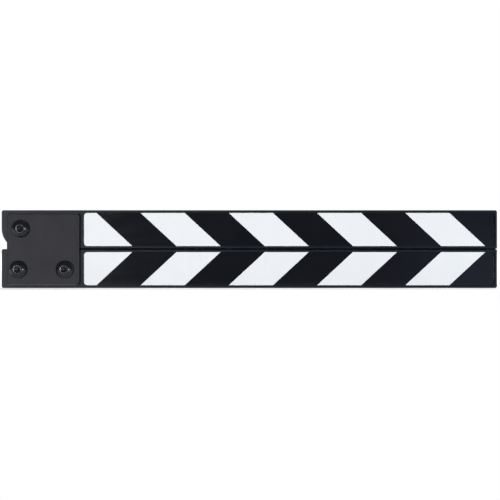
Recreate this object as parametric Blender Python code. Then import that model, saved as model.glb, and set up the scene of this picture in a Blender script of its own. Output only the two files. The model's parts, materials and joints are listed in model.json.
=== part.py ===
"""A pair of film clapper sticks with a bolted hinge, shown closed.

Metres, +Z up. The sticks run along X with the hinge at the -X end, and their striped faces
look along -Y. The origin is the middle of the lower stick's bottom edge, which seats on a
slate board. The upper stick swings about the pivot screw, whose axis runs along Y.
"""

from math import cos, hypot, pi, radians, sin, sqrt, tan

import bmesh
import bpy

# Sticks
STICK_LENGTH = 0.267
STICK_HEIGHT = 0.0208
STICK_THICKNESS = 0.010
CORNER_RADIUS = 0.0010
EDGE_ROUND = 0.0004
END_RADIUS = 0.0108  # of the upper stick's hinge corner, about the pivot

# Clearances
MEETING_GAP = 0.0003  # between the closed sticks
SEAT_GAP = 0.0003  # between faces that rest on each other
POCKET_GAP = 0.0002  # round and behind a piece that lies in a pocket
HOLE_GAP = 0.0002  # round a screw in a plain hole
RUNNING_GAP = 0.00008  # round the bush, on which the upper stick turns

# Striped panels
PANEL_FROM_HINGE_END = 0.0444
PANEL_FROM_FREE_END = 0.0017
PANEL_RIM = 0.00145
PANEL_THICKNESS = 0.0020
PANEL_CORNER_RADIUS = 0.0017

# White stripes, let into the panels
STRIPE_WIDTH = 0.02378
STRIPE_SLANT_DEGREES = 47.2  # from the upright
FIRST_STRIPE_WIDTH = 0.0067  # at the panel's outer edge
INLAY_THICKNESS = 0.0010

# Hinge plates
PLATE_FROM_END = 0.0032
PLATE_WIDTH = 0.0389
PLATE_HEIGHT = 0.0391
PLATE_THICKNESS = 0.0022
PLATE_CORNER_RADIUS = 0.0022
PLATE_CHAMFER = 0.0006

# Fixing screws, level with the pivot about the meeting line
OUTER_FIXING_FROM_END = 0.0094
INNER_FIXING_FROM_END = 0.0344

# Button head screws, M5
THREAD_DIAMETER = 0.0050
TIP_CHAMFER = 0.0005
TIP_PAST_NUT = 0.0008
HEAD_DIAMETER = 0.0095
HEAD_HEIGHT = 0.00275
HEAD_RIM = 0.0004
HEAD_FLAT_DIAMETER = 0.0052
SOCKET_ACROSS_FLATS = 0.0030
SOCKET_DEPTH = 0.0016

# Washers and nuts, M5
WASHER_DIAMETER = 0.0100
WASHER_THICKNESS = 0.0010
NUT_ACROSS_FLATS = 0.0080
NUT_HEX_HEIGHT = 0.0034
NUT_CHAMFER = 0.0004
NUT_COLLAR_DIAMETER = 0.0068
NUT_COLLAR_HEIGHT = 0.0012

# Pivot bearing
BUSH_DIAMETER = 0.0080
FRICTION_WASHER_DIAMETER = 0.0140
FRICTION_WASHER_THICKNESS = 0.0005

# Magnets near the free end
MAGNET_FROM_FREE_END = 0.0100
MAGNET_DIAMETER = 0.0050
MAGNET_LENGTH = 0.0030
MAGNET_CHAMFER = 0.0002

# Screw holes for a slate board, in the lower stick's bottom edge
BOARD_HOLE_SPACING = 0.160
BOARD_HOLE_DIAMETER = 0.0040
BOARD_HOLE_DEPTH = 0.0080

# Fineness of the round shapes
TURNED_SIDES = 36
CORNER_STEPS = 4
END_STEPS = 16
DOME_STEPS = 4
CUT_PAST = 0.0020  # how far a cutter reaches past the face that it enters

# Places that follow from the sizes above
HALF_THICKNESS = STICK_THICKNESS / 2
HINGE_END = -STICK_LENGTH / 2
UPPER_BASE = STICK_HEIGHT + MEETING_GAP
MEETING_LINE = STICK_HEIGHT + MEETING_GAP / 2
PIVOT_IN_STICK = (END_RADIUS, END_RADIUS)
PIVOT = (HINGE_END + END_RADIUS, 0, UPPER_BASE + END_RADIUS)
FIXING_HEIGHT = 2 * MEETING_LINE - PIVOT[2]
PLATE_INNER_FACE = HALF_THICKNESS + SEAT_GAP
PLATE_OUTER_FACE = PLATE_INNER_FACE + PLATE_THICKNESS
HEAD_SEAT = PLATE_OUTER_FACE + SEAT_GAP
WASHER_SEAT = PLATE_OUTER_FACE + SEAT_GAP
NUT_SEAT = WASHER_SEAT + WASHER_THICKNESS + SEAT_GAP
NUT_HEIGHT = NUT_HEX_HEIGHT + NUT_COLLAR_HEIGHT
SCREW_LENGTH = HEAD_SEAT + NUT_SEAT + NUT_HEIGHT + TIP_PAST_NUT
SCREW_HOLE_RADIUS = THREAD_DIAMETER / 2 + HOLE_GAP
PANEL_LENGTH = STICK_LENGTH - PANEL_FROM_HINGE_END - PANEL_FROM_FREE_END
PANEL_POCKET_DEPTH = PANEL_THICKNESS + POCKET_GAP
STRIPE_LEAN = tan(radians(STRIPE_SLANT_DEGREES))  # run along the stick per unit of height
MIDDLE_BEHIND_PANEL = PANEL_POCKET_DEPTH / 2  # y, midway between pocket floor and back


def clear_scene():
    for old in list(bpy.data.objects):
        bpy.data.objects.remove(old, do_unlink=True)


def make_material(name, colour, roughness, metallic=0.0):
    material = bpy.data.materials.new(name)
    material.use_nodes = True
    shader = material.node_tree.nodes["Principled BSDF"]
    shader.inputs["Base Color"].default_value = (*colour, 1.0)
    shader.inputs["Roughness"].default_value = roughness
    shader.inputs["Metallic"].default_value = metallic
    material.diffuse_color = (*colour, 1.0)
    return material


# Outlines, as (x, z) points counter-clockwise seen from -Y


def arc(centre, radius, start, end, steps=CORNER_STEPS):
    """Points on a circle, from one angle to the other in degrees."""
    angles = [radians(start + (end - start) * step / steps) for step in range(steps + 1)]
    return [(centre[0] + radius * cos(a), centre[1] + radius * sin(a)) for a in angles]


def rounded_rectangle(left, right, bottom, top, radius):
    return (
        arc((left + radius, bottom + radius), radius, 180, 270)
        + arc((right - radius, bottom + radius), radius, 270, 360)
        + arc((right - radius, top - radius), radius, 0, 90)
        + arc((left + radius, top - radius), radius, 90, 180)
    )


def lower_stick_outline():
    return rounded_rectangle(0, STICK_LENGTH, 0, STICK_HEIGHT, CORNER_RADIUS)


def upper_stick_outline():
    """The same bar, but its lower hinge corner turns clear on an arc about the pivot."""
    other_corners = lower_stick_outline()[CORNER_STEPS + 1 :]
    return arc(PIVOT_IN_STICK, END_RADIUS, 180, 270, END_STEPS) + other_corners


def panel_outline(grow=0.0):
    """The panel's outline in its stick, or the outline of a pocket that is larger by grow."""
    return rounded_rectangle(
        PANEL_FROM_HINGE_END - grow,
        STICK_LENGTH - PANEL_FROM_FREE_END + grow,
        PANEL_RIM - grow,
        STICK_HEIGHT - PANEL_RIM + grow,
        PANEL_CORNER_RADIUS + grow,
    )


def plate_outline():
    left = HINGE_END + PLATE_FROM_END
    bottom = MEETING_LINE - PLATE_HEIGHT / 2
    return rounded_rectangle(
        left, left + PLATE_WIDTH, bottom, bottom + PLATE_HEIGHT, PLATE_CORNER_RADIUS
    )


def stripe_edge(number, height, outer_edge_up):
    """Where one slanted edge of the pattern is at a height in the stick. Edge 0 ends stripe 1."""
    outer_edge = STICK_HEIGHT - PANEL_RIM if outer_edge_up else PANEL_RIM
    inward = outer_edge - height if outer_edge_up else height - outer_edge
    at_outer_edge = PANEL_FROM_HINGE_END + FIRST_STRIPE_WIDTH + number * STRIPE_WIDTH
    return at_outer_edge + STRIPE_LEAN * inward


def stripe_outline(stripe, outer_edge_up, inset=0.0):
    """One white stripe, reaching past the panel above and below, and at its hinge end."""
    low = PANEL_RIM - CUT_PAST
    high = STICK_HEIGHT - PANEL_RIM + CUT_PAST
    shift = inset * hypot(1, STRIPE_LEAN)

    def left(height):
        if stripe == 0:
            return PANEL_FROM_HINGE_END - CUT_PAST
        return stripe_edge(2 * stripe - 1, height, outer_edge_up) + shift

    def right(height):
        return stripe_edge(2 * stripe, height, outer_edge_up) - shift

    return [(left(low), low), (right(low), low), (right(high), high), (left(high), high)]


def stripe_count():
    """How many white stripes start and end on the panel's outer edge."""
    return int((PANEL_LENGTH - FIRST_STRIPE_WIDTH) // (2 * STRIPE_WIDTH)) + 1


# Solids


def finish(shape, name, material, smooth_under=30):
    """Turns a bmesh into an object in the scene, with outward faces and smooth round sides."""
    bmesh.ops.recalc_face_normals(shape, faces=shape.faces)
    mesh = bpy.data.meshes.new(name)
    shape.to_mesh(mesh)
    shape.free()
    mesh.shade_smooth()
    mesh.set_sharp_from_angle(angle=radians(smooth_under))
    solid = bpy.data.objects.new(name, mesh)
    bpy.context.scene.collection.objects.link(solid)
    if material:
        mesh.materials.append(material)
    return solid


def add_prism(shape, outline, front, back):
    """Adds an outline, extruded along Y, to a bmesh."""
    near = [shape.verts.new((x, front, z)) for x, z in outline]
    far = [shape.verts.new((x, back, z)) for x, z in outline]
    shape.faces.new(near)
    shape.faces.new(reversed(far))
    for i in range(len(outline)):
        j = (i + 1) % len(outline)
        shape.faces.new((near[i], near[j], far[j], far[i]))


def prism(name, outline, front, back, material=None):
    shape = bmesh.new()
    add_prism(shape, outline, front, back)
    return finish(shape, name, material)


def ring_radius(angle, radius, across_flats):
    """A ring's radius at an angle, cut down to a hexagon where it has flats."""
    if across_flats is None:
        return radius
    from_flat = (angle + pi / 6) % (pi / 3) - pi / 6
    return min(radius, across_flats / 2 / cos(from_flat))


def turned(name, rings, material=None, closed_profile=False):
    """A solid turned about Y from rings of (radius, y, across_flats or None).

    A profile that starts and ends on the axis makes a solid body. A closed profile makes one
    with a bore.
    """
    shape = bmesh.new()
    loops = []
    for radius, y, across_flats in rings:
        if radius == 0:
            loops.append([shape.verts.new((0, y, 0))])
            continue
        angles = [2 * pi * side / TURNED_SIDES for side in range(TURNED_SIDES)]
        radii = [ring_radius(a, radius, across_flats) for a in angles]
        loops.append([shape.verts.new((r * cos(a), y, r * sin(a))) for r, a in zip(radii, angles)])
    following = loops[1:] + loops[:1] if closed_profile else loops[1:]
    for near, far in zip(loops, following):
        for i in range(TURNED_SIDES):
            j = (i + 1) % TURNED_SIDES
            corners = (
                near[i % len(near)], near[j % len(near)], far[j % len(far)], far[i % len(far)]
            )
            shape.faces.new(dict.fromkeys(corners))
    return finish(shape, name, material)


def plain_rings(*points):
    return [(radius, y, None) for radius, y in points]


def tube(name, inner, outer, front, back, material=None):
    rings = plain_rings((inner, front), (outer, front), (outer, back), (inner, back))
    return turned(name, rings, material, closed_profile=True)


def rod(name, radius, front, back, material=None):
    rings = plain_rings((0, front), (radius, front), (radius, back), (0, back))
    return turned(name, rings, material)


# Modifiers and placing


def round_edges(solid, width, segments):
    bevel = solid.modifiers.new("edges", "BEVEL")
    bevel.width = width
    bevel.segments = segments
    bevel.limit_method = "ANGLE"
    bevel.angle_limit = radians(60)


def combine(solid, helper, operation):
    """A Boolean with a helper, which stays in the scene as a wire that isn't rendered."""
    helper.hide_render = True
    helper.display_type = "WIRE"
    boolean = solid.modifiers.new(helper.name, "BOOLEAN")
    boolean.operation = operation
    boolean.object = helper
    boolean.solver = "EXACT"


def cut(solid, *cutters):
    for cutter in cutters:
        combine(solid, cutter, "DIFFERENCE")


def place(solid, parent, location=(0, 0, 0)):
    solid.parent = parent
    solid.location = location


def make_assembly(name, location):
    """An empty that carries one rigid body. The moving one lies on its joint's axis."""
    empty = bpy.data.objects.new(name, None)
    empty.empty_display_size = STICK_HEIGHT
    empty.location = location
    bpy.context.scene.collection.objects.link(empty)
    return empty


# Sticks


def stick(name, outline, parent, corner, material):
    """One bar with rounded edges and the pocket for its panel. corner places x = z = 0."""
    body = prism(name, outline, -HALF_THICKNESS, HALF_THICKNESS, material)
    round_edges(body, EDGE_ROUND, 2)
    pocket = prism(
        f"{name}_pocket_cutter",
        panel_outline(POCKET_GAP),
        -HALF_THICKNESS - CUT_PAST,
        -HALF_THICKNESS + PANEL_POCKET_DEPTH,
    )
    cut(body, pocket)
    for piece in (body, pocket):
        place(piece, parent, corner)
    return body


def drill(body, name, parent, x, z):
    """A screw hole through a stick or plate, along Y."""
    reach = PLATE_OUTER_FACE + CUT_PAST
    cutter = rod(f"{name}_cutter", SCREW_HOLE_RADIUS, -reach, reach)
    place(cutter, parent, (x, 0, z))
    cut(body, cutter)


def cut_bearing_seat(body, parent):
    """The upper stick's bore for the bush, with a recess on each side for a friction washer."""
    bore = BUSH_DIAMETER / 2 + RUNNING_GAP
    recess = FRICTION_WASHER_DIAMETER / 2 + POCKET_GAP
    floor = PLATE_INNER_FACE - 2 * SEAT_GAP - FRICTION_WASHER_THICKNESS
    reach = HALF_THICKNESS + CUT_PAST
    rings = plain_rings(
        (0, -reach), (recess, -reach), (recess, -floor), (bore, -floor),
        (bore, floor), (recess, floor), (recess, reach), (0, reach),
    )
    cutter = turned("bearing_seat_cutter", rings)
    place(cutter, parent)
    cut(body, cutter)


def drill_up(body, name, parent, x, mouth, diameter, depth, upwards):
    """A blind hole along Z, behind the panel's pocket, with its mouth in a stick's long edge."""
    way = 1 if upwards else -1
    cutter = rod(f"{name}_cutter", diameter / 2, -CUT_PAST, depth)
    place(cutter, parent, (x, MIDDLE_BEHIND_PANEL, mouth))
    cutter.rotation_euler.x = way * pi / 2
    cut(body, cutter)


# Striped panels


def striped_panel(side, parent, corner, outer_edge_up, black, white):
    """A black panel with pockets, and the white stripes that lie in them, flush with its face."""
    front = -HALF_THICKNESS
    panel = prism(f"{side}_stripe_panel", panel_outline(), front, front + PANEL_THICKNESS, black)
    place(panel, parent, corner)
    limits = prism(
        f"{side}_stripe_limits", panel_outline(), front - CUT_PAST, front + INLAY_THICKNESS * 2
    )
    place(limits, parent, corner)
    pockets = bmesh.new()
    for stripe in range(stripe_count()):
        add_prism(
            pockets,
            stripe_outline(stripe, outer_edge_up),
            front - CUT_PAST,
            front + INLAY_THICKNESS + POCKET_GAP,
        )
        inlay = prism(
            f"{side}_white_stripe_{stripe + 1}",
            stripe_outline(stripe, outer_edge_up, POCKET_GAP),
            front,
            front + INLAY_THICKNESS,
            white,
        )
        combine(inlay, limits, "INTERSECT")
        place(inlay, parent, corner)
    cutter = finish(pockets, f"{side}_stripe_pocket_cutter", None)
    place(cutter, parent, corner)
    cut(panel, cutter)


# Hinge


def hinge_plate(name, front, back, parent, material):
    plate = prism(name, plate_outline(), front, back, material)
    round_edges(plate, PLATE_CHAMFER, 1)
    place(plate, parent)
    drill(plate, f"{name}_pivot_hole", parent, PIVOT[0], PIVOT[2])
    for label, from_end in (("outer", OUTER_FIXING_FROM_END), ("inner", INNER_FIXING_FROM_END)):
        drill(plate, f"{name}_{label}_hole", parent, HINGE_END + from_end, FIXING_HEIGHT)


def dome_rings():
    """The button head's round shoulder: part of a sphere, from its flat top to its rim."""
    top = (HEAD_FLAT_DIAMETER / 2, HEAD_HEIGHT)
    rim = (HEAD_DIAMETER / 2, HEAD_RIM)
    centre = (rim[0] ** 2 - top[0] ** 2 + rim[1] ** 2 - top[1] ** 2) / 2 / (rim[1] - top[1])
    sphere_radius = hypot(rim[0], rim[1] - centre)
    rings = []
    for step in range(DOME_STEPS + 1):
        radius = top[0] + (rim[0] - top[0]) * step / DOME_STEPS
        rings.append((radius, -centre - sqrt(sphere_radius**2 - radius**2), None))
    return rings


def button_head_screw(name, parent, x, z, material):
    """A screw with its head at the front. Its y is 0 under the head."""
    socket_floor = SOCKET_DEPTH - HEAD_HEIGHT
    thread = THREAD_DIAMETER / 2
    rings = (
        plain_rings((0, socket_floor))
        + [(SOCKET_ACROSS_FLATS, socket_floor, SOCKET_ACROSS_FLATS)]
        + [(SOCKET_ACROSS_FLATS, -HEAD_HEIGHT, SOCKET_ACROSS_FLATS)]
        + dome_rings()
        + plain_rings(
            (HEAD_DIAMETER / 2, 0),
            (thread, 0),
            (thread, SCREW_LENGTH - TIP_CHAMFER),
            (thread - TIP_CHAMFER, SCREW_LENGTH),
            (0, SCREW_LENGTH),
        )
    )
    screw = turned(name, rings, material)
    place(screw, parent, (x, -HEAD_SEAT, z))


def flat_washer(name, parent, x, z, material):
    back = WASHER_SEAT + WASHER_THICKNESS
    washer = tube(name, SCREW_HOLE_RADIUS, WASHER_DIAMETER / 2, WASHER_SEAT, back, material)
    place(washer, parent, (x, 0, z))


def lock_nut(name, parent, x, z, material):
    """A hexagon nut with chamfered corners and a round locking collar at its back."""
    flats = NUT_ACROSS_FLATS
    corner = flats / 2 / cos(pi / 6)
    hex_back = NUT_SEAT + NUT_HEX_HEIGHT
    collar = NUT_COLLAR_DIAMETER / 2
    rings = (
        plain_rings((SCREW_HOLE_RADIUS, NUT_SEAT))
        + [
            (flats / 2, NUT_SEAT, flats),
            (corner, NUT_SEAT + NUT_CHAMFER, flats),
            (corner, hex_back - NUT_CHAMFER, flats),
            (flats / 2, hex_back, flats),
        ]
        + plain_rings(
            (collar, hex_back),
            (collar, hex_back + NUT_COLLAR_HEIGHT - NUT_CHAMFER),
            (collar - NUT_CHAMFER, hex_back + NUT_COLLAR_HEIGHT),
            (SCREW_HOLE_RADIUS, hex_back + NUT_COLLAR_HEIGHT),
        )
    )
    nut = turned(name, rings, material, closed_profile=True)
    place(nut, parent, (x, 0, z))


def pivot_bearing(fixed, moving, brass, nylon):
    """The bush that the plates clamp, and the washers that turn with the upper stick."""
    bush_end = PLATE_INNER_FACE - SEAT_GAP
    bush = tube("pivot_bush", SCREW_HOLE_RADIUS, BUSH_DIAMETER / 2, -bush_end, bush_end, brass)
    place(bush, fixed, PIVOT)
    inner = BUSH_DIAMETER / 2 + POCKET_GAP
    outer = FRICTION_WASHER_DIAMETER / 2
    far = PLATE_INNER_FACE - SEAT_GAP
    near = far - FRICTION_WASHER_THICKNESS
    place(tube("front_friction_washer", inner, outer, -far, -near, nylon), moving)
    place(tube("rear_friction_washer", inner, outer, near, far, nylon), moving)


# Magnets


def magnet(name, parent, x, face, upwards, material):
    """A disc magnet with its outer face flush with the stick's meeting edge."""
    radius = MAGNET_DIAMETER / 2
    rings = plain_rings(
        (0, 0), (radius - MAGNET_CHAMFER, 0), (radius, MAGNET_CHAMFER),
        (radius, MAGNET_LENGTH - MAGNET_CHAMFER), (radius - MAGNET_CHAMFER, MAGNET_LENGTH),
        (0, MAGNET_LENGTH),
    )
    disc = turned(name, rings, material)
    disc.rotation_euler.x = pi / 2 if upwards else -pi / 2
    place(disc, parent, (x, MIDDLE_BEHIND_PANEL, face))


def main():
    clear_scene()
    stick_black = make_material("stick_black", (0.045, 0.049, 0.056), 0.42)
    panel_black = make_material("panel_black", (0.014, 0.015, 0.019), 0.15)
    stripe_white = make_material("stripe_white", (0.85, 0.87, 0.88), 0.2)
    plate_grey = make_material("plate_grey", (0.045, 0.043, 0.048), 0.55, 0.2)
    screw_black = make_material("screw_black", (0.03, 0.03, 0.033), 0.35, 0.7)
    bright_steel = make_material("bright_steel", (0.55, 0.55, 0.56), 0.3, 1.0)
    brass = make_material("brass", (0.72, 0.52, 0.2), 0.3, 1.0)
    nylon = make_material("nylon", (0.75, 0.74, 0.7), 0.5)
    nickel = make_material("nickel", (0.65, 0.64, 0.61), 0.2, 1.0)

    fixed = make_assembly("fixed_assembly", (0, 0, 0))
    moving = make_assembly("swinging_assembly", PIVOT)
    lower_corner = (HINGE_END, 0, 0)
    upper_corner = (-PIVOT_IN_STICK[0], 0, -PIVOT_IN_STICK[1])
    magnet_x = STICK_LENGTH - MAGNET_FROM_FREE_END
    magnet_hole = (MAGNET_DIAMETER + 2 * POCKET_GAP, MAGNET_LENGTH + POCKET_GAP)

    lower = stick("lower_stick", lower_stick_outline(), fixed, lower_corner, stick_black)
    upper = stick("upper_stick", upper_stick_outline(), moving, upper_corner, stick_black)
    striped_panel("lower", fixed, lower_corner, False, panel_black, stripe_white)
    striped_panel("upper", moving, upper_corner, True, panel_black, stripe_white)

    hinge_plate("front_hinge_plate", -PLATE_OUTER_FACE, -PLATE_INNER_FACE, fixed, plate_grey)
    hinge_plate("rear_hinge_plate", PLATE_INNER_FACE, PLATE_OUTER_FACE, fixed, plate_grey)
    for label, from_end in (("outer", OUTER_FIXING_FROM_END), ("inner", INNER_FIXING_FROM_END)):
        x = HINGE_END + from_end
        drill(lower, f"lower_stick_{label}_hole", fixed, x, FIXING_HEIGHT)
        button_head_screw(f"{label}_fixing_screw", fixed, x, FIXING_HEIGHT, screw_black)
        flat_washer(f"{label}_fixing_washer", fixed, x, FIXING_HEIGHT, bright_steel)
        lock_nut(f"{label}_fixing_nut", fixed, x, FIXING_HEIGHT, bright_steel)
    cut_bearing_seat(upper, moving)
    pivot_bearing(fixed, moving, brass, nylon)
    button_head_screw("pivot_screw", fixed, PIVOT[0], PIVOT[2], screw_black)
    flat_washer("pivot_washer", fixed, PIVOT[0], PIVOT[2], bright_steel)
    lock_nut("pivot_lock_nut", fixed, PIVOT[0], PIVOT[2], bright_steel)

    lower_x = HINGE_END + magnet_x
    upper_x = upper_corner[0] + magnet_x
    drill_up(lower, "lower_magnet_hole", fixed, lower_x, STICK_HEIGHT, *magnet_hole, False)
    drill_up(upper, "upper_magnet_hole", moving, upper_x, upper_corner[2], *magnet_hole, True)
    magnet("lower_magnet", fixed, lower_x, STICK_HEIGHT, False, nickel)
    magnet("upper_magnet", moving, upper_x, upper_corner[2], True, nickel)
    for label, way in (("hinge_side", -1), ("free_side", 1)):
        x = way * BOARD_HOLE_SPACING / 2
        board_hole = (BOARD_HOLE_DIAMETER, BOARD_HOLE_DEPTH)
        drill_up(lower, f"{label}_board_hole", fixed, x, 0, *board_hole, True)


main()
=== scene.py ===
"""The looks of a pair of film clapper sticks with a bolted hinge, built round its CAD frame.

Metres, +Z up. The closed sticks run along X from the hinge at the -X end, their striped faces
look along -Y, and the lower stick's bottom edge lies at z = 0. Every piece is modelled where it
lies at rest, from the boxes of the CAD nodes.
"""

import json
from math import asin, cos, pi, radians, sin, sqrt, tan

import bmesh
import bpy
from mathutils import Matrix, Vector


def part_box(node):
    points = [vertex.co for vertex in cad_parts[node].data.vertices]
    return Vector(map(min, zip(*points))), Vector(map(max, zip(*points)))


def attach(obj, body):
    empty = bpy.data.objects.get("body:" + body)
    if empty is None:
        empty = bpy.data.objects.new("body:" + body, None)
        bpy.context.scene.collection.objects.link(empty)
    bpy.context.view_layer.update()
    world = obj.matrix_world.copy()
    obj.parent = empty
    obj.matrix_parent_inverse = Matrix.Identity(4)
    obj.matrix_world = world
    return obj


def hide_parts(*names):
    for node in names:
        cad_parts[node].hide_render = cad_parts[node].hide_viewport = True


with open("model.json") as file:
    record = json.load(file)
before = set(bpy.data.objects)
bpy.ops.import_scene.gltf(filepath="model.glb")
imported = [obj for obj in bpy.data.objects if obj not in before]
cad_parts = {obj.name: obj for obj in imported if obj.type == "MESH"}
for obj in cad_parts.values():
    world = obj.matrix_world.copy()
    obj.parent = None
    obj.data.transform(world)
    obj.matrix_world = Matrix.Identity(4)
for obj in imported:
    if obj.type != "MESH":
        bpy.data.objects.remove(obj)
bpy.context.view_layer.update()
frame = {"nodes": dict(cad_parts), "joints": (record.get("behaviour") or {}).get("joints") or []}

FIXED = "fixed_assembly"
MOVING = "swinging_assembly"
PIVOT = Vector(frame["joints"][0]["pos_m"])

# Sticks
CORNER_RADIUS = 0.0010
MEETING_CORNER_RADIUS = 0.0005  # at the free end of the meeting edges
STICK_EDGE_ROUND = 0.00018
MEETING_GAP = 0.000004  # the closed sticks all but touch
MEETING_BEVEL_HEIGHT = 0.00048  # of the steep bevels along the meeting edges
MEETING_BEVEL_DEPTH = 0.0032
POCKET_LIP = 0.00006  # width of the slope round the mouth of a pocket
POCKET_GAP = 0.00012  # round a panel in its pocket
POCKET_END_GAP = 0.00055  # beyond the panel's free end
MEETING_HOLE_GAP = 0.00005  # round a magnet
HOLE_LIP = 0.0003  # countersink of the screw holes in the bottom edge

# Striped panels, made of slanted tiles on a black backing
PANEL_CORNER_RADIUS = 0.0017
STRIPE_WIDTH = 0.02378
STRIPE_SLANT = radians(47.2)  # from the upright
FIRST_STRIPE_WIDTH = 0.0067  # at the panel's outer edge
TILE_THICKNESS = 0.0010
TILE_EDGE_ROUND = 0.00006
TILE_SEAM = 0.00002
TILE_SINK = 0.00004  # below the stick's face

# Hinge plates
PLATE_CORNER_RADIUS = 0.0022
PLATE_BEVEL_WIDTH = 0.0011  # of the shallow bevel round the outer face
PLATE_BEVEL_DROP = 0.00020
PLATE_BEVEL_SOFTNESS = 0.00030  # width of the rounding between the face and the bevel
PLATE_RIM_WIDTH = 0.00018  # of the steep rounding outside the bevel
PLATE_RIM_DROP = 0.0006
PLATE_SEAT_ROUND = 0.00015
# A lighter colour painted along the plates' lower and inner bevels: a painted highlight where light
# falls
PAINTED_HIGHLIGHT_FROM_EDGE = 0.00045  # middle of the painted highlight line along the lower and inner edges
PAINTED_HIGHLIGHT_WIDTH = 0.0005
INNER_EDGE_HIGHLIGHT = 0.35  # painted highlight on the inner edge, as a share of the lower edge's
SEAT = 0.00002  # between pieces that are clamped together

# Screws, M5
SHANK_RADIUS = 0.0025
SHANK_HOLE_RADIUS = 0.0027
HEAD_FLAT_RADIUS = 0.00202
HEAD_DOME_START = 0.0025  # radius at which the rounding of the flat has become the dome
HEAD_DOME_SPHERE = 0.00564
HEAD_RIM_ROUND = 0.00015
SOCKET_ACROSS_FLATS = 0.0030
SOCKET_DEPTH = 0.0017
SOCKET_MOUTH_RADIUS = 0.00200
SOCKET_DRILL_RADIUS = 0.00148
SOCKET_TIP_RADIUS = 0.00008
SOCKET_CONE = radians(30)  # slope of the mouth's chamfer and of the drill's tip
THREAD_PITCH = 0.0008
THREAD_DEPTH = 0.00045
THREAD_LENGTH = 0.0080
THREAD_FLANK_SLOPE = 1.25  # depths over half a pitch, so that the root comes out flat
THREAD_CREST_FLAT = 0.12  # taken off the depth, so that the crest comes out flat
TIP_CHAMFER = 0.0006
SOCKET_TURNS = {"pivot_screw": 20, "outer_fixing_screw": 11, "inner_fixing_screw": 26}  # degrees

# Washers and lock nuts, M5
WASHER_EDGE_ROUND = 0.00018
NUT_ACROSS_FLATS = 0.0080
NUT_HEX_HEIGHT = 0.0036
NUT_FACE_RADIUS = 0.0039  # inside the chamfer
NUT_CHAMFER_SLOPE = radians(30)
NUT_COLLAR_RADIUS = 0.0035
NUT_COLLAR_ROUND = 0.0004
NUT_COLLAR_FILLET = 0.0001  # where the collar rises from the hexagon
NUT_LIP_RADIUS = 0.00305
NUT_LIP_DROP = 0.00005  # from the collar's end to the lip's inner edge
NUT_LIP_TAPER = 0.00003
INSERT_INNER_RADIUS = 0.00245
INSERT_CHAMFER = 0.0001  # of its bore
INSERT_SINK = 0.00012  # below the collar's end
INSERT_DEPTH = 0.0003  # of its back, below the collar's end
INSERT_GAP = 0.00004  # inside the lip
NUT_TURNS = {"pivot_lock_nut": 8, "outer_fixing_nut": 22, "inner_fixing_nut": -5}  # degrees

# Each screw with its washer and nut
FASTENERS = (
    ("pivot_screw", "pivot_washer", "pivot_lock_nut"),
    ("outer_fixing_screw", "outer_fixing_washer", "outer_fixing_nut"),
    ("inner_fixing_screw", "inner_fixing_washer", "inner_fixing_nut"),
)

# Bearing seat of the upper stick
BUSH_HOLE_RADIUS = 0.00408
WASHER_RECESS_RADIUS = 0.0072

# Magnets
MAGNET_EDGE_ROUND = 0.0002

# Screw holes in the bottom edge
BOARD_HOLE_RADIUS = 0.0020
BOARD_HOLE_DEPTH = 0.0080
BOARD_HOLE_SPACING = 0.160

# Fineness
SIDES = 72
CORNER_STEPS = 8
END_STEPS = 32
ROUND_STEPS = 4
DOME_STEPS = 14
FLAT_EDGE_STEPS = 5
THREAD_RINGS_PER_PITCH = 8
NUT_CHAMFER_STEPS = 6
CUT_PAST = 0.0020  # how far a cutter reaches past the face that it enters
SMOOTH_UNDER = radians(32)


# Rings of points


def arc(centre, radius, start, end, steps=CORNER_STEPS):
    """Points (x, z) on a circle, from one angle to the other in degrees."""
    angles = [radians(start + (end - start) * step / steps) for step in range(steps + 1)]
    return [Vector((centre[0] + radius * cos(a), centre[1] + radius * sin(a))) for a in angles]


def rounded_rectangle(low, high, radius, lower_right=None, upper_right=None):
    """A closed outline, counter-clockwise seen from the front."""
    lower_right = lower_right or radius
    upper_right = upper_right or radius
    return (
        arc((low[0] + radius, low[1] + radius), radius, 180, 270)
        + arc((high[0] - lower_right, low[1] + lower_right), lower_right, 270, 360)
        + arc((high[0] - upper_right, high[1] - upper_right), upper_right, 0, 90)
        + arc((low[0] + radius, high[1] - radius), radius, 90, 180)
    )


def inset(outline, distance):
    """A closed outline, moved inwards by one distance all round."""
    moved = []
    for i, point in enumerate(outline):
        before = (point - outline[i - 1]).normalized()
        after = (outline[(i + 1) % len(outline)] - point).normalized()
        inward = Vector((-before.y - after.y, before.x + after.x))
        moved.append(point + inward * distance / (1 + before.dot(after)))
    return moved


def level(outline, y):
    """The points of an outline, all at one y."""
    return [(point[0], y, point[1]) for point in outline]


def quarter_round(width, depth):
    """An edge as points from its face to its side: how far in from the side, and how deep."""
    turns = [pi / 2 * step / ROUND_STEPS for step in range(ROUND_STEPS + 1)]
    return [(width * (1 - sin(turn)), depth * (1 - cos(turn))) for turn in turns]


def slab(outline, front, back, front_edge, back_edge):
    """Rings of a plate. An edge is a row of points, each how far in and how deep."""
    rings = [level(inset(outline, inwards), front + depth) for inwards, depth in front_edge]
    for inwards, depth in reversed(back_edge):
        rings.append(level(inset(outline, inwards), back - depth))
    return rings


def turned_ring(centre, radius, y, turn=0.0):
    """A ring about a line along Y. The radius and y may be functions of the angle."""
    ring = []
    for side in range(SIDES):
        angle = 2 * pi * side / SIDES
        reach = radius(angle) if callable(radius) else radius
        depth = y(angle) if callable(y) else y
        x = centre[0] + reach * cos(angle + turn)
        z = centre[1] + reach * sin(angle + turn)
        ring.append((x, depth, z))
    return ring


def upright_ring(x, y, radius, z):
    """A ring about a line along Z."""
    angles = [2 * pi * side / SIDES for side in range(SIDES)]
    return [(x + radius * cos(angle), y + radius * sin(angle), z) for angle in angles]


def to_flats(across_flats, angle):
    """A hexagon's radius at an angle from one of its flats."""
    from_flat = (angle + pi / 6) % (pi / 3) - pi / 6
    return across_flats / 2 / cos(from_flat)


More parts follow.
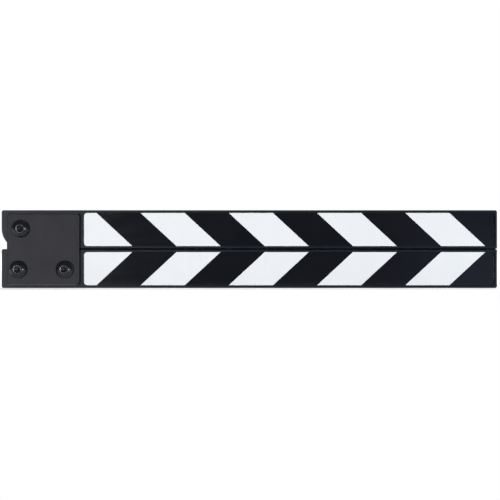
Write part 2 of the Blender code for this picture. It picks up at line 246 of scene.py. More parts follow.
def turned_edge(radius, y, round_by, onwards):
    """Profile points (radius, y) round a turned piece's outer edge, from its face to its side.

    onwards is 1 where y grows from the face to the side, and -1 where it falls.
    """
    edge = quarter_round(round_by, round_by)
    return [(radius - inwards, y + onwards * depth) for inwards, depth in edge]


# Solids


def skin(name, rings, closed=False):
    """A mesh object over a row of rings. A ring of one point is a tip on the axis."""
    shape = bmesh.new()
    loops = [[shape.verts.new(point) for point in ring] for ring in rings]
    following = loops[1:] + loops[:1] if closed else loops[1:]
    for near, far in zip(loops, following):
        sides = max(len(near), len(far))
        for i in range(sides):
            j = (i + 1) % sides
            corners = (
                near[i % len(near)], near[j % len(near)], far[j % len(far)], far[i % len(far)]
            )
            shape.faces.new(dict.fromkeys(corners))
    if not closed:
        for end in (loops[0], loops[-1]):
            if len(end) > 1:
                shape.faces.new(end)
    bmesh.ops.recalc_face_normals(shape, faces=shape.faces)
    mesh = bpy.data.meshes.new(name)
    shape.to_mesh(mesh)
    shape.free()
    solid = bpy.data.objects.new(name, mesh)
    bpy.context.scene.collection.objects.link(solid)
    return solid


def apply_modifiers(solid):
    """Keeps the mesh that the modifiers make, and takes them off."""
    depsgraph = bpy.context.evaluated_depsgraph_get()
    finished = bpy.data.meshes.new_from_object(solid.evaluated_get(depsgraph))
    solid.modifiers.clear()
    solid.data = finished


def cut(solid, *cutters):
    """Takes the cutters out of a solid and deletes them."""
    for cutter in cutters:
        boolean = solid.modifiers.new(cutter.name, "BOOLEAN")
        boolean.operation = "DIFFERENCE"
        boolean.solver = "EXACT"
        boolean.object = cutter
    apply_modifiers(solid)
    for cutter in cutters:
        bpy.data.objects.remove(cutter, do_unlink=True)


def join(solids):
    """Several solids as one object, under the first one's name."""
    shape = bmesh.new()
    for solid in solids:
        shape.from_mesh(solid.data)
    shape.to_mesh(solids[0].data)
    shape.free()
    for spare in solids[1:]:
        bpy.data.objects.remove(spare, do_unlink=True)
    return solids[0]


def smooth(solid):
    """Smooth rounded edges, with the large faces kept flat."""
    solid.data.shade_smooth()
    solid.data.set_sharp_from_angle(angle=SMOOTH_UNDER)
    weighted = solid.modifiers.new("flat faces", "WEIGHTED_NORMAL")
    weighted.keep_sharp = True


def fit(solid, body, slot, material, *nodes):
    """Finishes a piece, and hands it to its body in place of its CAD nodes."""
    smooth(solid)
    solid.data.materials.clear()
    solid.data.materials.append(material)
    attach(solid, body)
    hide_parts(*nodes)
    return solid


# Sticks


def flat_box(node):
    """A node's corners as seen from the front: (x, z) low, (x, z) high, front y, back y."""
    low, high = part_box(node)
    return Vector((low.x, low.z)), Vector((high.x, high.z)), low.y, high.y


def turned_box(node):
    """A node that is round about Y: its centre (x, z), radius, front y and back y."""
    low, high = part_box(node)
    centre = ((low.x + high.x) / 2, (low.z + high.z) / 2)
    return centre, (high.x - low.x) / 2, low.y, high.y


def middle_of(node):
    low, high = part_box(node)
    return (low + high) / 2


def meeting_edge(way):
    """The height of a stick's meeting edge. way is 1 for the upper stick and -1 for the lower."""
    middle = (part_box("lower_stick")[1].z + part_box("upper_stick")[0].z) / 2
    return middle + way * MEETING_GAP / 2


def lower_stick_outline():
    low, high, _, _ = flat_box("lower_stick")
    high.y = meeting_edge(-1)
    return rounded_rectangle(low, high, CORNER_RADIUS, upper_right=MEETING_CORNER_RADIUS)


def upper_stick_outline():
    """The same bar, but its lower hinge corner is an arc that turns clear of the lower stick."""
    low, high, _, _ = flat_box("upper_stick")
    low.y = meeting_edge(1)
    radius = PIVOT.z - low.y
    corners = rounded_rectangle(low, high, CORNER_RADIUS, lower_right=MEETING_CORNER_RADIUS)
    hinge_corner = arc((low.x + radius, PIVOT.z), radius, 180, 270, END_STEPS)
    return hinge_corner + corners[CORNER_STEPS + 1 :]


def pocket_cutter(side, front):
    """The pocket for a striped panel, with a narrow slope round its mouth."""
    low, high, _, back = flat_box(f"{side}_stripe_panel")
    low = low - Vector((POCKET_GAP, POCKET_GAP))
    high = high + Vector((POCKET_END_GAP, POCKET_GAP))
    outline = rounded_rectangle(low, high, PANEL_CORNER_RADIUS + POCKET_GAP)
    flare = POCKET_LIP + CUT_PAST
    rings = [
        level(inset(outline, -flare), front - CUT_PAST),
        level(outline, front + POCKET_LIP),
        level(outline, back + SEAT),
    ]
    return skin(f"{side}_pocket_cutter", rings)


def long_hole_cutter(name, x, z, radius):
    """A hole through a stick or a plate, along Y."""
    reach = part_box("rear_hinge_plate")[1].y + CUT_PAST
    centre = (x, z)
    return skin(name, [turned_ring(centre, radius, -reach), turned_ring(centre, radius, reach)])


def upright_hole_cutter(name, x, y, mouth, radius, depth, way, lip):
    """A blind hole along Z, with a slope round its mouth. way is 1 where it goes up."""
    profile = [(radius + lip + CUT_PAST, -CUT_PAST), (radius, lip), (radius, depth)]
    return skin(name, [upright_ring(x, y, reach, mouth + way * up) for reach, up in profile])


def magnet_hole_cutter(side, way):
    low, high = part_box(f"{side}_magnet")
    middle = (low + high) / 2
    mouth = meeting_edge(way)
    radius = (high.x - low.x) / 2 + MEETING_HOLE_GAP
    depth = (high.z - mouth if way > 0 else mouth - low.z) + SEAT
    return upright_hole_cutter(
        f"{side}_magnet_hole", middle.x, middle.y, mouth, radius, depth, way, MEETING_HOLE_GAP
    )


def meeting_bevel_cutters():
    """Narrow wedges into the meeting edges, front and back, from the plates to the free end."""
    low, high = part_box("lower_stick")
    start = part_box("front_hinge_plate")[1].x - CUT_PAST
    end = high.x + CUT_PAST
    middle = (meeting_edge(-1) + meeting_edge(1)) / 2
    mouth = MEETING_BEVEL_HEIGHT * (1 + CUT_PAST / MEETING_BEVEL_DEPTH)
    cutters = []
    for label, face, outward in (("front", low.y, -1), ("back", high.y, 1)):
        outside = face + outward * CUT_PAST
        floor = face - outward * MEETING_BEVEL_DEPTH
        rings = [
            [(x, outside, middle - mouth), (x, floor, middle), (x, outside, middle + mouth)]
            for x in (start, end)
        ]
        cutters.append(skin(f"{label}_meeting_bevel", rings))
    return cutters


def lower_stick(material):
    _, _, front, back = flat_box("lower_stick")
    edge = quarter_round(STICK_EDGE_ROUND, STICK_EDGE_ROUND)
    stick = skin("fixed_stick", slab(lower_stick_outline(), front, back, edge, edge))
    cutters = [pocket_cutter("lower", front), magnet_hole_cutter("lower", -1)]
    cutters += meeting_bevel_cutters()
    for name in ("outer_fixing_screw", "inner_fixing_screw"):
        place = middle_of(name)
        cutters.append(long_hole_cutter(f"{name}_hole", place.x, place.z, SHANK_HOLE_RADIUS))
    for label, way in (("hinge_side", -1), ("free_side", 1)):
        x = way * BOARD_HOLE_SPACING / 2
        y = middle_of("lower_magnet").y
        cutters.append(upright_hole_cutter(
            f"{label}_board_hole", x, y, 0, BOARD_HOLE_RADIUS, BOARD_HOLE_DEPTH, 1, HOLE_LIP
        ))
    cut(stick, *cutters)
    return fit(stick, FIXED, "stick_black", material, "lower_stick")


def bearing_seat_cutter():
    """The bore for the bush, with a recess on each side for a friction washer."""
    centre = (PIVOT.x, PIVOT.z)
    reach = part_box("rear_hinge_plate")[1].y
    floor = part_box("rear_friction_washer")[0].y - SEAT
    profile = [
        (WASHER_RECESS_RADIUS, -reach), (WASHER_RECESS_RADIUS, -floor), (BUSH_HOLE_RADIUS, -floor),
        (BUSH_HOLE_RADIUS, floor), (WASHER_RECESS_RADIUS, floor), (WASHER_RECESS_RADIUS, reach),
    ]
    return skin("bearing_seat", [turned_ring(centre, radius, y) for radius, y in profile])


def upper_stick(material):
    _, _, front, back = flat_box("upper_stick")
    edge = quarter_round(STICK_EDGE_ROUND, STICK_EDGE_ROUND)
    stick = skin("clapping_stick", slab(upper_stick_outline(), front, back, edge, edge))
    cut(stick, pocket_cutter("upper", front), magnet_hole_cutter("upper", 1))
    cut(stick, *meeting_bevel_cutters())
    cut(stick, bearing_seat_cutter())
    return fit(stick, MOVING, "stick_black", material, "upper_stick")


# Striped panels


def stripe_edge(panel, number, height, outer_edge_up):
    """Where one slanted edge of the pattern is at a height. Edge 0 ends the first stripe."""
    low, high = panel
    inward = high.y - height if outer_edge_up else height - low.y
    at_outer_edge = low.x + FIRST_STRIPE_WIDTH + number * STRIPE_WIDTH
    return at_outer_edge + tan(STRIPE_SLANT) * inward


def tile_outline(panel, number, last, outer_edge_up):
    """One slanted tile of a panel. The first and last have the panel's rounded corners."""
    low, high = panel
    r = PANEL_CORNER_RADIUS
    if number == 0:
        bottom_left = arc((low.x + r, low.y + r), r, 180, 270)
        top_left = arc((low.x + r, high.y - r), r, 90, 180)
    else:
        bottom_left = [Vector((stripe_edge(panel, number - 1, low.y, outer_edge_up), low.y))]
        top_left = [Vector((stripe_edge(panel, number - 1, high.y, outer_edge_up), high.y))]
    if number == last:
        bottom_right = arc((high.x - r, low.y + r), r, 270, 360)
        top_right = arc((high.x - r, high.y - r), r, 0, 90)
    else:
        bottom_right = [Vector((stripe_edge(panel, number, low.y, outer_edge_up), low.y))]
        top_right = [Vector((stripe_edge(panel, number, high.y, outer_edge_up), high.y))]
    return inset(bottom_left + bottom_right + top_right + top_left, TILE_SEAM / 2)


def striped_panel(side, body, black, white):
    """White tiles one by one, and the black ones in one piece with the backing behind all."""
    low, high, front, back = flat_box(f"{side}_stripe_panel")
    panel = (low, high)
    face = front + TILE_SINK
    tile_back = front + TILE_THICKNESS
    tiles = int((high.x - low.x - FIRST_STRIPE_WIDTH) // STRIPE_WIDTH) + 1
    edge = quarter_round(TILE_EDGE_ROUND, TILE_EDGE_ROUND)
    backing = rounded_rectangle(low, high, PANEL_CORNER_RADIUS)
    rings = slab(backing, tile_back + SEAT, back, edge, edge)
    black_pieces = [skin(f"{side}_panel", rings)]
    for number in range(tiles):
        outline = tile_outline(panel, number, tiles - 1, side == "upper")
        rings = slab(outline, face, tile_back, edge, edge)
        if number % 2:
            black_pieces.append(skin(f"{side}_black_tile_{number}", rings))
            continue
        stripe = number // 2 + 1
        tile = skin(f"{side}_white_tile_{stripe}", rings)
        fit(tile, body, "stripe_white", white, f"{side}_white_stripe_{stripe}")
    fit(join(black_pieces), body, "panel_black", black, f"{side}_stripe_panel")


# Hinge plates


def plate_face_edge():
    """A soft bend into a shallow bevel, then a steep rounding down to the plate's side."""
    slope = PLATE_BEVEL_DROP / (PLATE_BEVEL_WIDTH - PLATE_RIM_WIDTH)
    start = PLATE_BEVEL_WIDTH + PLATE_BEVEL_SOFTNESS / 2
    points = []
    for step in range(ROUND_STEPS):
        run = PLATE_BEVEL_SOFTNESS * step / ROUND_STEPS
        points.append((start - run, slope * run**2 / PLATE_BEVEL_SOFTNESS / 2))
    for width, depth in quarter_round(PLATE_RIM_WIDTH, PLATE_RIM_DROP):
        points.append((width, PLATE_BEVEL_DROP + depth))
    return points


def hinge_plate(name, node, outer_face_is_front, material):
    low, high, front, back = flat_box(node)
    outline = rounded_rectangle(low, high, PLATE_CORNER_RADIUS)
    edges = [plate_face_edge(), quarter_round(PLATE_SEAT_ROUND, PLATE_SEAT_ROUND)]
    if not outer_face_is_front:
        edges.reverse()
    plate = skin(name, slab(outline, front, back, *edges))
    cutters = []
    for screw, _, _ in FASTENERS:
        place = middle_of(screw)
        cutters.append(long_hole_cutter(f"{screw}_hole", place.x, place.z, SHANK_HOLE_RADIUS))
    cut(plate, *cutters)
    return fit(plate, FIXED, "plate_grey", material, node)


# Screws


def head_profile(top, head_radius):
    """Points (radius, y) of a button head: the flat's rounded edge, then the dome to the rim."""
    slope = asin(HEAD_DOME_START / HEAD_DOME_SPHERE)
    bend = (HEAD_DOME_START - HEAD_FLAT_RADIUS) / sin(slope)
    points = []
    for step in range(FLAT_EDGE_STEPS):
        turn = slope * step / FLAT_EDGE_STEPS
        points.append((HEAD_FLAT_RADIUS + bend * sin(turn), top + bend * (1 - cos(turn))))
    centre = top + bend * (1 - cos(slope)) + HEAD_DOME_SPHERE * cos(slope)
    for step in range(DOME_STEPS + 1):
        radius = HEAD_DOME_START + (head_radius - HEAD_DOME_START) * step / DOME_STEPS
        points.append((radius, centre - sqrt(HEAD_DOME_SPHERE**2 - radius**2)))
    return points


def thread_radius(angle, y, tip):
    """A screw thread's radius, cut down by the chamfer at the screw's tip."""
    phase = (y / THREAD_PITCH - angle / (2 * pi)) % 1
    off_crest = abs(2 * phase - 1)
    depth = min(1, max(0, THREAD_FLANK_SLOPE * off_crest - THREAD_CREST_FLAT))
    radius = SHANK_RADIUS - THREAD_DEPTH * depth
    return min(radius, SHANK_RADIUS - TIP_CHAMFER + (tip - y))


def button_screw(name, material):
    """A button head screw. Its rings run from the socket's floor over the head to the tip."""
    centre, head_radius, top, tip = turned_box(name)
    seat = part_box("front_hinge_plate")[0].y - SEAT
    turn = radians(SOCKET_TURNS[name])
    slope = tan(SOCKET_CONE)

    def hexagon(angle):
        return to_flats(SOCKET_ACROSS_FLATS, angle)

    def mouth_depth(angle):
        return top + (SOCKET_MOUTH_RADIUS - hexagon(angle)) * slope

    floor = top + SOCKET_DEPTH
    drill_tip = floor + SOCKET_DRILL_RADIUS * slope
    rings = [
        [(centre[0], drill_tip, centre[1])],
        turned_ring(centre, SOCKET_TIP_RADIUS, drill_tip - SOCKET_TIP_RADIUS * slope, turn),
        turned_ring(centre, SOCKET_DRILL_RADIUS, floor, turn),
        turned_ring(centre, hexagon, floor, turn),
        turned_ring(centre, hexagon, mouth_depth, turn),
        turned_ring(centre, SOCKET_MOUTH_RADIUS, top, turn),
    ]
    profile = head_profile(top, head_radius)
    profile += [(head_radius, seat - HEAD_RIM_ROUND), (head_radius - HEAD_RIM_ROUND, seat)]
    thread_start = tip - THREAD_LENGTH
    profile += [(SHANK_RADIUS, seat), (SHANK_RADIUS, thread_start - THREAD_PITCH)]
    rings += [turned_ring(centre, radius, y, turn) for radius, y in profile]
    steps = round(THREAD_LENGTH / THREAD_PITCH * THREAD_RINGS_PER_PITCH)
    for step in range(steps + 1):
        y = thread_start + THREAD_LENGTH * step / steps
        rings.append(turned_ring(centre, lambda angle: thread_radius(angle, y, tip), y, turn))
    rings.append([(centre[0], tip, centre[1])])
    screw = skin(f"{name}_detailed", rings)
    return fit(screw, FIXED, "screw_black", material, name)


# Washers and nuts


def washer(name, material):
    centre, outer, _, back = turned_box(name)
    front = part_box("rear_hinge_plate")[1].y + SEAT
    profile = [(SHANK_HOLE_RADIUS, front)]
    profile += turned_edge(outer, front, WASHER_EDGE_ROUND, 1)
    profile += reversed(turned_edge(outer, back, WASHER_EDGE_ROUND, -1))
    profile += [(SHANK_HOLE_RADIUS + WASHER_EDGE_ROUND, back)]
    profile += [(SHANK_HOLE_RADIUS, back - WASHER_EDGE_ROUND)]
    ring = skin(f"{name}_turned", [turned_ring(centre, r, y) for r, y in profile], closed=True)
    return fit(ring, FIXED, "bright_steel", material, name)


def lock_nut(name, washer_name, steel, nylon):
    """A hexagon nut with chamfered corners, and a collar rolled over a nylon ring."""
    centre, _, _, back = turned_box(name)
    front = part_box(washer_name)[1].y + SEAT
    hex_back = front + NUT_HEX_HEIGHT
    turn = radians(NUT_TURNS[name])
    run = to_flats(NUT_ACROSS_FLATS, pi / 6) - NUT_FACE_RADIUS
    outs = [run * step / NUT_CHAMFER_STEPS for step in range(NUT_CHAMFER_STEPS + 1)]

    def chamfer_ring(out, face, inwards):
        """The hexagon, cut off round at a distance out from the flat of a face."""
        reach = NUT_FACE_RADIUS + out
        y = face + inwards * out * tan(NUT_CHAMFER_SLOPE)
        return turned_ring(
            centre, lambda angle: min(reach, to_flats(NUT_ACROSS_FLATS, angle)), y, turn
        )

    rings = [turned_ring(centre, SHANK_HOLE_RADIUS, front, turn)]
    rings += [chamfer_ring(out, front, 1) for out in outs]
    rings += [chamfer_ring(out, hex_back, -1) for out in reversed(outs)]
    profile = [(NUT_COLLAR_RADIUS + NUT_COLLAR_FILLET, hex_back)]
    profile += [(NUT_COLLAR_RADIUS, hex_back + NUT_COLLAR_FILLET)]
    profile += reversed(turned_edge(NUT_COLLAR_RADIUS, back, NUT_COLLAR_ROUND, -1))
    profile += [(NUT_LIP_RADIUS, back - NUT_LIP_DROP)]
    profile += [(NUT_LIP_RADIUS - NUT_LIP_TAPER, back - INSERT_DEPTH)]
    profile += [(SHANK_HOLE_RADIUS, back - INSERT_DEPTH)]
    rings += [turned_ring(centre, radius, y, turn) for radius, y in profile]
    nut = skin(f"{name}_hex", rings, closed=True)
    fit(nut, FIXED, "bright_steel", steel, name)

    face = back - INSERT_SINK
    insert_profile = [
        (INSERT_INNER_RADIUS, back - INSERT_DEPTH),
        (INSERT_INNER_RADIUS, face - INSERT_CHAMFER),
        (INSERT_INNER_RADIUS + INSERT_CHAMFER, face),
        (NUT_LIP_RADIUS - 2 * INSERT_GAP, face),
        (NUT_LIP_RADIUS - INSERT_GAP, back - INSERT_DEPTH + SEAT),
    ]
    rings = [turned_ring(centre, radius, y, turn) for radius, y in insert_profile]
    fit(skin(f"{name}_insert", rings, closed=True), FIXED, "nylon", nylon)


# Magnets


def magnet(side, body, way, material):
    """A disc magnet in a stick's meeting edge. way is 1 where its hole goes up."""
    low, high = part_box(f"{side}_magnet")
    middle = (low + high) / 2
    mouth = low.z if way > 0 else high.z
    radius = (high.x - low.x) / 2
    length = high.z - low.z
    profile = turned_edge(radius, 0, MAGNET_EDGE_ROUND, 1)
    profile += reversed(turned_edge(radius, length, MAGNET_EDGE_ROUND, -1))
    rings = [upright_ring(middle.x, middle.y, reach, mouth + way * up) for reach, up in profile]
    disc = skin(f"{side}_magnet_disc", rings)
    return fit(disc, body, "nickel", material, f"{side}_magnet")


# Materials


NOISE_LOW = 0.3  # between these two lies most of what a noise node gives
NOISE_HIGH = 0.7


class Surface:
    """A Principled material, with the nodes that vary it over the piece."""

    def __init__(self, name, colour, roughness, **settings):
        self.material = bpy.data.materials.new(name)
        self.material.use_nodes = True
        self.nodes = self.material.node_tree.nodes
        self.links = self.material.node_tree.links
        self.shader = self.nodes["Principled BSDF"]
        self.shader.inputs["Base Color"].default_value = (*colour, 1.0)
        self.shader.inputs["Roughness"].default_value = roughness
        for label, value in settings.items():
            self.shader.inputs[label.replace("_", " ")].default_value = value
        self.place = self.nodes.new("ShaderNodeTexCoord").outputs["Object"]

    def feed(self, socket, value):
        """Sets a socket to a value, or links another node's output to it."""
        if isinstance(value, bpy.types.NodeSocket):
            self.links.new(value, socket)
        else:
            socket.default_value = value

    def add(self, kind, inputs, **properties):
        """A node with its inputs given by name, each a value or another node's output."""
        node = self.nodes.new(kind)
        for label, value in properties.items():
            setattr(node, label, value)
        for label, value in inputs.items():
            self.feed(node.inputs[label], value)
        return node.outputs

    def noise(self, grain, detail=2.0, roughness=0.5, stretch=(1, 1, 1)):
        """Noise from 0 to 1 whose grains are about so many metres across."""
        scaled = self.add("ShaderNodeMapping", {"Vector": self.place, "Scale": stretch})
        inputs = {
            "Vector": scaled["Vector"], "Scale": 1 / grain, "Detail": detail, "Roughness": roughness
        }
        return self.add("ShaderNodeTexNoise", inputs)["Fac"]

    def spread(self, value, low, high, at_low, at_high):
        """Maps a range of a value to another range, and holds it there."""
        inputs = {
            "Value": value, "From Min": low, "From Max": high, "To Min": at_low, "To Max": at_high
        }
        return self.add("ShaderNodeMapRange", inputs, clamp=True)["Result"]

    def math(self, operation, first, second):
        node = self.nodes.new("ShaderNodeMath")
        node.operation = operation
        for socket, value in zip(node.inputs, (first, second)):
            self.feed(socket, value)
        return node.outputs[0]

    def blend(self, factor, first, second):
        """Mixes two colours."""
        node = self.nodes.new("ShaderNodeMix")
        node.data_type = "RGBA"
        for label, value in (("Factor", factor), ("A", first), ("B", second)):
            socket = next(s for s in node.inputs if s.name == label and s.enabled)
            self.feed(socket, (*value, 1.0) if isinstance(value, tuple) else value)
        return next(s for s in node.outputs if s.enabled)

    def drive(self, label, value):
        self.links.new(value, self.shader.inputs[label])

    def vary_colour(self, pattern, first, second):
        """Goes from one base colour to another where a noise pattern rises."""
        factor = self.spread(pattern, NOISE_LOW, NOISE_HIGH, 0, 1)
        self.drive("Base Color", self.blend(factor, first, second))

    def vary_roughness(self, pattern, smoothest, roughest):
        amount = self.spread(pattern, NOISE_LOW, NOISE_HIGH, smoothest, roughest)
        self.drive("Roughness", amount)

    def grain(self, pattern, height, strength):
        """Raises a noise pattern by so many metres."""
        inputs = {"Height": pattern, "Distance": height, "Strength": strength}
        self.drive("Normal", self.add("ShaderNodeBump", inputs)["Normal"])


def stick_plastic():
    """Satin black plastic with a fine grain, a little uneven."""
    surface = Surface("stick_plastic", (0.012, 0.0155, 0.0225), 0.36, Specular_IOR_Level=0.085)
    cloud = surface.noise(0.015, detail=3)
    surface.vary_colour(cloud, (0.0108, 0.0145, 0.0210), (0.0132, 0.0168, 0.0242))
    surface.vary_roughness(surface.noise(0.006, detail=4, roughness=0.6), 0.34, 0.39)
    surface.grain(surface.noise(0.00018, detail=2), 0.00001, 0.35)
    return surface.material


def wipe_marks(surface):
    """Faint marks of wiping along a polished sheet."""
    wipe = surface.noise(0.004, detail=5, roughness=0.65, stretch=(0.25, 1, 1))
    surface.drive("Roughness", surface.spread(wipe, 0.35, 0.65, 0.09, 0.12))


def panel_gloss_black():
    """Polished black sheet."""
    surface = Surface("panel_gloss_black", (0.004, 0.0045, 0.0078), 0.1, Specular_IOR_Level=0.45)
    cloud = surface.noise(0.02, detail=2)
    surface.vary_colour(cloud, (0.0034, 0.0039, 0.0070), (0.0046, 0.0052, 0.0086))
    wipe_marks(surface)
    return surface.material


def stripe_gloss_white():
    """Polished white sheet, very slightly clouded."""
    surface = Surface("stripe_gloss_white", (0.853, 0.85, 0.883), 0.1, Specular_IOR_Level=0.4)
    cloud = surface.noise(0.012, detail=3)
    surface.vary_colour(cloud, (0.845, 0.843, 0.878), (0.861, 0.857, 0.888))
    wipe_marks(surface)
    return surface.material


def painted_edge_highlight(surface):
    """A mask for a painted highlight along the plates' lower and inner bevels, uneven in patches.
    """
    low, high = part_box("front_hinge_plate")
    axes = surface.add("ShaderNodeSeparateXYZ", {"Vector": surface.place})
    highlight_lines = []
    for from_edge, amount in (
        (surface.math("SUBTRACT", axes["Z"], low.z), 1),
        (surface.math("SUBTRACT", high.x, axes["X"]), INNER_EDGE_HIGHLIGHT),
    ):
        off_middle = surface.math("SUBTRACT", from_edge, PAINTED_HIGHLIGHT_FROM_EDGE)
        off_middle = surface.math("ABSOLUTE", off_middle, 0)
        highlight_lines.append(surface.spread(off_middle, PAINTED_HIGHLIGHT_WIDTH / 2, PAINTED_HIGHLIGHT_WIDTH, amount, 0))
    patches = surface.spread(surface.noise(0.004, detail=3), 0.35, 0.6, 0.6, 1)
    return surface.math("MULTIPLY", surface.math("MAXIMUM", *highlight_lines), patches)


def plate_anodised():
    """Bead-blasted aluminium, anodised dark grey."""
    surface = Surface(
        "plate_anodised", (0.026, 0.0255, 0.03), 0.55, Metallic=0.35, Specular_IOR_Level=0.2
    )
    cloud = surface.noise(0.009, detail=4)
    plain = surface.blend(
        surface.spread(cloud, NOISE_LOW, NOISE_HIGH, 0, 1),
        (0.0240, 0.0235, 0.0282),
        (0.0285, 0.0280, 0.0330),
    )
    # The mask paints a pale highlight into the colour along the lower and inner bevels
    surface.drive("Base Color", surface.blend(painted_edge_highlight(surface), plain, (0.068, 0.068, 0.073)))
    blast = surface.noise(0.00022, detail=3, roughness=0.6)
    surface.vary_roughness(blast, 0.52, 0.6)
    surface.grain(blast, 0.000015, 0.5)
    return surface.material


def screw_black_oxide():
    """Blackened steel with a thin film of oil."""
    surface = Surface("screw_black_oxide", (0.04, 0.042, 0.044), 0.26, Metallic=0.85)
    film = surface.noise(0.0016, detail=4, roughness=0.6)
    surface.vary_colour(film, (0.034, 0.036, 0.038), (0.050, 0.052, 0.054))
    surface.vary_roughness(film, 0.22, 0.32)
    surface.grain(surface.noise(0.00015, detail=2), 0.000004, 0.2)
    return surface.material


def zinc_plated():
    """Bright zinc on steel, dulled in patches."""
    surface = Surface("zinc_plated", (0.55, 0.56, 0.58), 0.32, Metallic=1.0)
    cloud = surface.noise(0.0025, detail=4, roughness=0.6)
    surface.vary_colour(cloud, (0.48, 0.49, 0.52), (0.62, 0.62, 0.61))
    surface.vary_roughness(cloud, 0.24, 0.42)
    surface.grain(surface.noise(0.0002, detail=2), 0.000006, 0.25)
    return surface.material


def turned_brass():
    """Brass with the fine rings of turning."""
    surface = Surface("turned_brass", (0.72, 0.52, 0.2), 0.3, Metallic=1.0)
    cloud = surface.noise(0.002, detail=3)
    surface.vary_colour(cloud, (0.62, 0.43, 0.16), (0.76, 0.56, 0.23))
    lines = surface.noise(0.0003, detail=2, stretch=(0.1, 1, 0.1))
    surface.vary_roughness(lines, 0.22, 0.4)
    return surface.material


def white_nylon():
    """Nylon, off-white and a little waxy."""
    surface = Surface("white_nylon", (0.74, 0.73, 0.69), 0.5)
    cloud = surface.noise(0.003, detail=3)
    surface.vary_colour(cloud, (0.68, 0.67, 0.63), (0.78, 0.77, 0.73))
    surface.vary_roughness(cloud, 0.44, 0.56)
    return surface.material


def nickel_plated():
    """Nickel, scuffed by the clapping."""
    surface = Surface("nickel_plated", (0.66, 0.65, 0.62), 0.2, Metallic=1.0)
    wear = surface.noise(0.0012, detail=4, roughness=0.65)
    surface.vary_colour(wear, (0.58, 0.57, 0.545), (0.7, 0.69, 0.66))
    surface.vary_roughness(wear, 0.16, 0.34)
    return surface.material


def dress(node, material):
    """Gives a CAD node its finish."""
    mesh = frame["nodes"][node].data
    mesh.materials.clear()
    mesh.materials.append(material)


# Studio

FLOOR_SIZE = 12.0
FLOOR_FRONT = -0.055  # where the table top ends, in front of the object
FLOOR_DROP = 0.0001  # below the stick's bottom edge
FLOOR_GLOW = 0.50  # white that the floor shows of itself near the object; light adds the rest
GLOW_NEAR = 0.3  # the floor's glow grows from this far out
GLOW_FAR = 1.5  # and is as bright as the background from here on
GLOW_START = -0.05  # in front of this line, reflections show no glow

# The room. Ranges are parts of a direction's length along one axis.
ROOM_LIGHT = 0.40  # falls on the object from all round, and isn't seen in reflections
ROOM_AHEAD = 0.12  # brightness in front of the object, as seen in reflections
ROOM_TURN = (0.45, 0.75)  # along Y, from that darkness to the white behind
SHEEN = 0.53  # brightness of a pale blue patch in the darkness, right of the camera and low
SHEEN_COLOUR = (0.5, 0.6, 1.0)
SHEEN_NEAR_SIDE = (0.09, 0.20)  # along X
SHEEN_FAR_SIDE = (0.30, 0.45)
SHEEN_TOP = (-0.04, 0.04)  # along Z
SHEEN_ABOVE = 0.22  # what is left of it above its top
SHEEN_BACK = (-0.8, -0.6)  # along Y

CAMERA_PLACE = (0.00035, -0.6450, 0.02045)
CAMERA_LENS = 85.5
CAMERA_SENSOR = 36.0


def studio_floor():
    """A white table top that ends a little in front of the object."""
    half = FLOOR_SIZE / 2
    shape = bmesh.new()
    corners = [(-half, FLOOR_FRONT), (half, FLOOR_FRONT), (half, half), (-half, half)]
    shape.faces.new([shape.verts.new((x, y, -FLOOR_DROP)) for x, y in corners])
    mesh = bpy.data.meshes.new("studio_floor")
    shape.to_mesh(mesh)
    shape.free()
    floor = bpy.data.objects.new("studio_floor", mesh)
    bpy.context.scene.collection.objects.link(floor)

    surface = Surface("studio_floor", (0.8, 0.8, 0.8), 0.9, Specular_IOR_Level=0.0)
    rays = surface.nodes.new("ShaderNodeLightPath").outputs
    distance = surface.add("ShaderNodeVectorMath", {0: surface.place}, operation="LENGTH")["Value"]
    seen_glow = surface.spread(distance, GLOW_NEAR, GLOW_FAR, FLOOR_GLOW, 1.0)
    back_to_front = surface.add("ShaderNodeSeparateXYZ", {"Vector": surface.place})["Y"]
    mirrored_glow = surface.spread(back_to_front, GLOW_START, 0, 0, FLOOR_GLOW)
    mirrored = surface.math("MAXIMUM", rays["Is Glossy Ray"], rays["Is Transmission Ray"])
    seen = surface.math("MULTIPLY", rays["Is Camera Ray"], seen_glow)
    glow = surface.math("ADD", seen, surface.math("MULTIPLY", mirrored, mirrored_glow))
    surface.shader.inputs["Emission Color"].default_value = (1, 1, 1, 1)
    surface.drive("Emission Strength", glow)
    mesh.materials.append(surface.material)


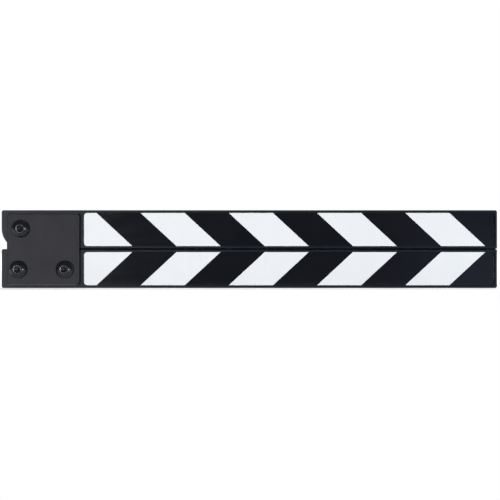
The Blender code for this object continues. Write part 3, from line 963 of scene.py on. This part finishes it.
def studio_world():
    """White behind the object, and a plain dim light all round.

    Reflections show a dark studio in front of the object, with a pale blue patch in it.
    """
    world = bpy.data.worlds.new("studio")
    world.use_nodes = True
    bpy.context.scene.world = world
    nodes = world.node_tree.nodes
    links = world.node_tree.links
    nodes.clear()

    direction = nodes.new("ShaderNodeTexCoord").outputs["Generated"]
    axes = nodes.new("ShaderNodeSeparateXYZ")
    links.new(direction, axes.inputs[0])

    def fade(axis, low, high, at_low, at_high):
        """Goes smoothly from one value to another as the direction turns along an axis."""
        node = nodes.new("ShaderNodeMapRange")
        node.interpolation_type = "SMOOTHSTEP"
        links.new(axes.outputs[axis], node.inputs["Value"])
        node.inputs["From Min"].default_value = low
        node.inputs["From Max"].default_value = high
        node.inputs["To Min"].default_value = at_low
        node.inputs["To Max"].default_value = at_high
        return node.outputs["Result"]

    def multiply(first, second):
        node = nodes.new("ShaderNodeMath")
        node.operation = "MULTIPLY"
        links.new(first, node.inputs[0])
        links.new(second, node.inputs[1])
        return node.outputs[0]

    def background(strength, colour=(1, 1, 1)):
        shader = nodes.new("ShaderNodeBackground")
        shader.inputs["Color"].default_value = (*colour, 1)
        if isinstance(strength, bpy.types.NodeSocket):
            links.new(strength, shader.inputs["Strength"])
        else:
            shader.inputs["Strength"].default_value = strength
        return shader.outputs[0]

    def choose(factor, first, second):
        mix = nodes.new("ShaderNodeMixShader")
        links.new(factor, mix.inputs[0])
        links.new(first, mix.inputs[1])
        links.new(second, mix.inputs[2])
        return mix.outputs[0]

    rays = nodes.new("ShaderNodeLightPath").outputs
    mirrored = nodes.new("ShaderNodeMath")
    mirrored.operation = "MAXIMUM"
    links.new(rays["Is Glossy Ray"], mirrored.inputs[0])
    links.new(rays["Is Transmission Ray"], mirrored.inputs[1])
    sheen = multiply(fade("X", *SHEEN_NEAR_SIDE, 0, SHEEN), fade("X", *SHEEN_FAR_SIDE, 1, 0))
    sheen = multiply(sheen, fade("Z", *SHEEN_TOP, 1, SHEEN_ABOVE))
    sheen = multiply(sheen, fade("Y", *SHEEN_BACK, 1, 0))
    seen_in_gloss = nodes.new("ShaderNodeAddShader")
    room = fade("Y", *ROOM_TURN, ROOM_AHEAD, 1)
    links.new(background(room), seen_in_gloss.inputs[0])
    links.new(background(sheen, SHEEN_COLOUR), seen_in_gloss.inputs[1])
    around = choose(mirrored.outputs[0], background(ROOM_LIGHT), seen_in_gloss.outputs[0])
    everything = choose(rays["Is Camera Ray"], around, background(1.0))
    output = nodes.new("ShaderNodeOutputWorld")
    links.new(everything, output.inputs["Surface"])


def soft_box(name, place, target, width, height, power, colour):
    """A rectangular lamp that faces its target, and that the camera doesn't see."""
    data = bpy.data.lights.new(name, "AREA")
    data.shape = "RECTANGLE"
    data.size = width
    data.size_y = height
    data.energy = power
    data.color = colour
    lamp = bpy.data.objects.new(name, data)
    lamp.location = place
    lamp.rotation_euler = (Vector(target) - Vector(place)).to_track_quat("-Z", "Y").to_euler()
    lamp.visible_camera = False
    bpy.context.scene.collection.objects.link(lamp)


def studio_lights():
    """A low key light on the left, one farther off on the right, and one for the back."""
    middle = (0, 0, 0.02)
    soft_box("left_box", (-0.43, -0.92, 0.02), middle, 0.30, 0.09, 4.7, (1.0, 0.985, 0.99))
    soft_box("right_box", (0.90, -1.02, 0.01), middle, 0.26, 0.09, 6.2, (0.82, 0.98, 0.96))
    soft_box("back_box", (0.25, 0.75, 1.15), middle, 0.8, 0.8, 9.0, (1.0, 1.0, 1.0))


def studio_camera():
    data = bpy.data.cameras.new("camera")
    data.sensor_width = CAMERA_SENSOR
    data.lens = CAMERA_LENS
    data.clip_start = 0.01
    camera = bpy.data.objects.new("camera", data)
    camera.location = CAMERA_PLACE
    camera.rotation_euler = (pi / 2, 0, 0)
    bpy.context.scene.collection.objects.link(camera)
    bpy.context.scene.camera = camera


def main():
    stick_material = stick_plastic()
    black = panel_gloss_black()
    white = stripe_gloss_white()
    plate_material = plate_anodised()
    screw_material = screw_black_oxide()
    steel = zinc_plated()
    nylon = white_nylon()
    nickel = nickel_plated()

    lower_stick(stick_material)
    upper_stick(stick_material)
    striped_panel("lower", FIXED, black, white)
    striped_panel("upper", MOVING, black, white)
    hinge_plate("front_cover_plate", "front_hinge_plate", True, plate_material)
    hinge_plate("rear_cover_plate", "rear_hinge_plate", False, plate_material)
    for screw, ring, nut in FASTENERS:
        button_screw(screw, screw_material)
        washer(ring, steel)
        lock_nut(nut, ring, steel, nylon)
    magnet("lower", FIXED, -1, nickel)
    magnet("upper", MOVING, 1, nickel)
    dress("pivot_bush", turned_brass())
    dress("front_friction_washer", nylon)
    dress("rear_friction_washer", nylon)

    studio_floor()
    studio_world()
    studio_lights()
    studio_camera()
    bpy.context.scene.view_settings.view_transform = "Standard"


main()
